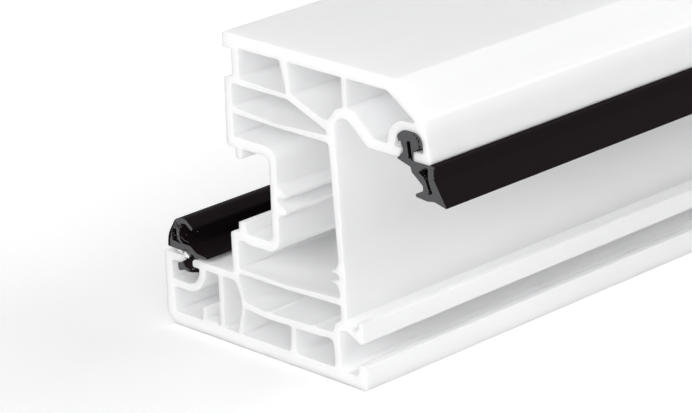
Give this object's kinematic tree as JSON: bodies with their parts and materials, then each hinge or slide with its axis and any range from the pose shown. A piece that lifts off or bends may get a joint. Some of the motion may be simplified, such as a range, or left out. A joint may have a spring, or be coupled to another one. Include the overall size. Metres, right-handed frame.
{
  "type": "window sash profile",
  "caption": "White hollow-chamber extrusion for a window sash, lying on its room side, with a glazing gasket and an overlap gasket run into its grooves; sold as a long bar.",
  "frame": {"origin": "middle of the bar's length and of its box across, on the plane of the room-side face that it lies on", "axes": "+Y along the bar, away from the end that the picture shows; +Z from the room-side face up to the weather-side face; +X from the hardware side with its overlap flange to the glazing side"},
  "size_m": [0.0722, 6, 0.06],
  "materials": {
    "white_plastic": "white unplasticised vinyl with an extruded satin gloss; matt sawn ends",
    "black_rubber": "black extruded gasket rubber, satin, dark grey where it is cut"
  },
  "bodies": {
    "root": {"sash_profile": "white_plastic", "glazing_gasket": "black_rubber", "overlap_gasket": "black_rubber"}
  },
  "joints": []
}
